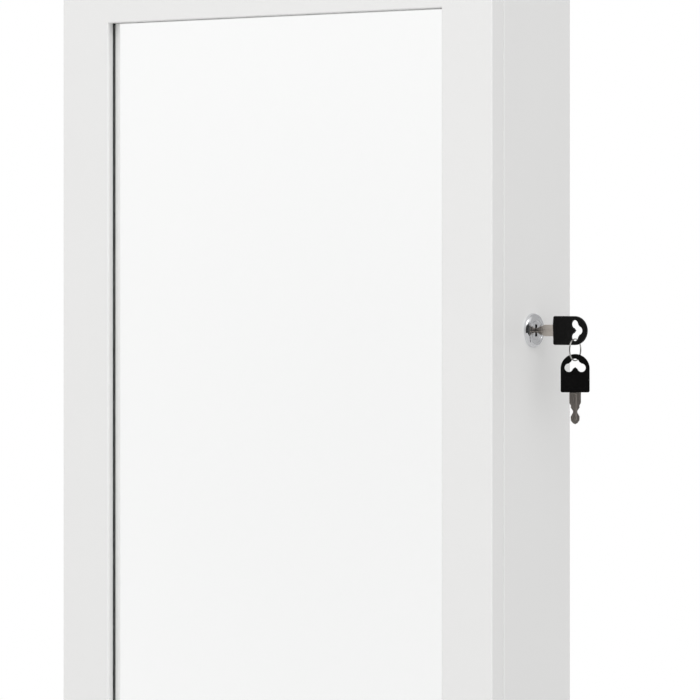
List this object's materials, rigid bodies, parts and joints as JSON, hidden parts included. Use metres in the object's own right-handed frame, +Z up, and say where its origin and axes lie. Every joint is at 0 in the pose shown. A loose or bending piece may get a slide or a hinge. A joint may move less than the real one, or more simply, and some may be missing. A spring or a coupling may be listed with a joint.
{
  "type": "jewelry armoire",
  "caption": "Slim wall-hung white jewelry cabinet with a full-length framed mirror door, a cam lock on its right side and two keys on a ring.",
  "frame": {"origin": "centre of the cabinet's back face, where it rests on the wall", "axes": "+Z up, +Y into the wall, +X towards the lock side; the mirror faces -Y"},
  "size_m": [0.4194, 0.1055, 1.2],
  "materials": {
    "white_paint": "smooth satin white lacquer on fibreboard",
    "back_board": "white laminate on hardboard",
    "hardboard": "bare brown hardboard",
    "velvet": "short-pile velvet in a warm off-white",
    "foam": "velvet-covered foam",
    "steel": "zinc-plated and nickel-plated steel",
    "chrome": "polished chrome plate",
    "black_plastic": "moulded black plastic",
    "acrylic": "clear acrylic with polished edges",
    "mirror": "silvered float glass"
  },
  "bodies": {
    "cabinet": {"side_panel_left": "white_paint", "side_panel_right": "white_paint", "top_panel": "white_paint", "bottom_panel": "white_paint", "back_panel": "back_board", "hanging_rail_top": "white_paint", "hanging_rail_bottom": "white_paint", "cup_washers": "steel", "back_screws": "steel", "back_lining": "velvet", "divider": "white_paint", "shelf_1": "white_paint", "shelf_2": "white_paint", "shelf_3": "white_paint", "shelf_4": "white_paint", "shelf_5": "white_paint", "shelf_6": "white_paint", "shelf_7": "white_paint", "shelf_guards": "acrylic", "ring_base": "velvet", "ring_rolls": "foam", "necklace_rail": "white_paint", "necklace_hooks": "chrome", "chain_pouch": "velvet", "bracelet_rods": "chrome", "rod_sockets": "chrome", "magnet_catches": "black_plastic", "hinge_1_body_leaf": "steel", "hinge_2_body_leaf": "steel", "hinge_3_body_leaf": "steel", "hinge_pins": "steel", "hinge_body_screws": "steel", "lock_housing": "chrome", "lock_nut": "steel"},
    "door": {"stile_left": "white_paint", "stile_right": "white_paint", "rail_top": "white_paint", "rail_bottom": "white_paint", "mirror_glass": "mirror", "mirror_backing": "hardboard", "door_lining": "velvet", "retainer_clips": "steel", "hinge_1_door_leaf": "steel", "hinge_2_door_leaf": "steel", "hinge_3_door_leaf": "steel", "hinge_door_screws": "steel", "strike_bracket": "steel", "strike_screws": "steel", "magnet_strikes": "steel", "earring_board": "velvet", "door_hook_rail": "white_paint", "door_hooks": "chrome"},
    "lock_plug": {"lock_plug": "chrome", "lock_cam": "steel", "cam_screw": "steel"},
    "key": {"key_blade": "steel", "key_bow": "black_plastic"},
    "key_ring": {"key_ring": "chrome"},
    "spare_key": {"spare_key_blade": "steel", "spare_key_bow": "black_plastic"}
  },
  "joints": [
    {"name": "door_hinge", "type": "hinge", "parent": "cabinet", "child": "door", "pos_m": [-0.1879, -0.09025, 0], "axis": [0, 0, -1], "range_deg": [0, 170]},
    {"name": "lock_turn", "type": "hinge", "parent": "cabinet", "child": "lock_plug", "pos_m": [0.188, -0.052, 0.336], "axis": [1, 0, 0], "range_deg": [0, 90]},
    {"name": "key_slide", "type": "slide", "parent": "lock_plug", "child": "key", "axis": [1, 0, 0], "range_m": [-0.012, 0.03]},
    {"name": "ring_hang", "type": "hinge", "parent": "key", "child": "key_ring", "pos_m": [0.2194, -0.052, 0.32735], "axis": [1, 0, 0], "range_deg": [-90, 0]},
    {"name": "spare_key_swing", "type": "hinge", "parent": "key_ring", "child": "spare_key", "pos_m": [0.2194, -0.052, 0.31519], "axis": [0, 1, 0], "range_deg": [-35, 20]}
  ],
  "couplings": [
    {"joint": "ring_hang", "follows": "lock_turn", "ratio": -1}
  ]
}
